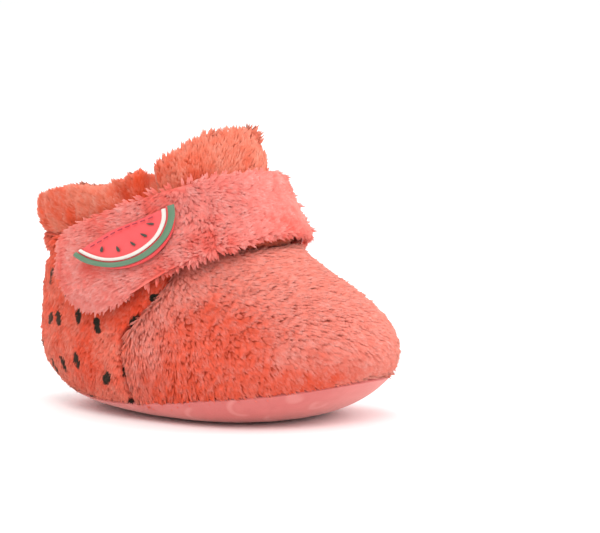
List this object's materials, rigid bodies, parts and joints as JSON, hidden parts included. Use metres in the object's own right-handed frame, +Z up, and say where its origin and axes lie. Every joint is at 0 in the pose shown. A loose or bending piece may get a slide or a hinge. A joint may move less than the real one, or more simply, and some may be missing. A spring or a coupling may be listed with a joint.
{
  "type": "baby bootie",
  "caption": "Soft plush baby bootie with a suede-like wrap sole, ankle cuff, tongue and a hook-and-loop strap carrying a fruit-slice badge.",
  "frame": {"origin": "on the floor, in the middle of the flat contact patch under the sole", "axes": "+Z up, the toe points towards -Y and the heel towards +Y, +X towards the inner side of the foot, where the strap is sewn; -X is the outer side, with the strap's free end and the badge"},
  "size_m": [0.0748, 0.1194, 0.0835],
  "materials": {
    "sole": "matt soft microsuede",
    "foam": "soft foam",
    "lining": "brushed fleece",
    "padding": "polyester wadding",
    "vamp": "short dense plush",
    "quarter": "short dense plush with dark flecks",
    "cuff": "short dense plush",
    "strap": "longer shaggy plush",
    "backing": "woven",
    "hook": "hook tape",
    "loop": "loop tape",
    "elastic": "knitted elastic",
    "flesh": "satin coated fabric",
    "pale": "satin raised trim",
    "green": "satin raised trim",
    "seed": "satin raised trim",
    "thread": "polyester sewing thread"
  },
  "bodies": {
    "shoe": {"outsole": "sole", "sole_foam": "foam", "footbed": "lining", "vamp_plush": "vamp", "vamp_padding": "padding", "vamp_lining": "lining", "quarter_plush": "quarter", "quarter_padding": "padding", "quarter_lining": "lining", "heel_elastic": "elastic", "ankle_cuff": "cuff", "loop_tape": "loop"},
    "strap_band": {"strap_band_backing": "backing", "strap_band_plush": "strap"},
    "strap_tab": {"strap_tab_backing": "backing", "strap_tab_plush": "strap", "hook_tape": "hook", "badge_base": "flesh", "badge_green_rind": "green", "badge_pale_rind": "pale", "badge_seed_1": "seed", "badge_seed_2": "seed", "badge_seed_3": "seed", "badge_seed_4": "seed", "badge_seed_5": "seed", "badge_thread": "thread"},
    "tongue": {"tongue_plush": "cuff", "tongue_lining": "lining"}
  },
  "joints": [
    {"name": "strap_open", "type": "hinge", "parent": "shoe", "child": "strap_band", "pos_m": [0.031, 0.0113, 0.0453], "axis": [0, 0.454, 0.891], "range_deg": [0, 100]},
    {"name": "tab_peel", "type": "hinge", "parent": "strap_band", "child": "strap_tab", "pos_m": [-0.0117, -0.0224, 0.0614], "axis": [0, 0.454, 0.891], "range_deg": [0, 60]},
    {"name": "tongue_tip", "type": "hinge", "parent": "shoe", "child": "tongue", "pos_m": [0, -0.0215, 0.0505], "axis": [1, 0, 0], "range_deg": [0, 30]}
  ],
  "couplings": [
    {"joint": "tab_peel", "follows": "strap_open", "ratio": 0.6},
    {"joint": "tongue_tip", "follows": "strap_open", "ratio": 0.3}
  ]
}
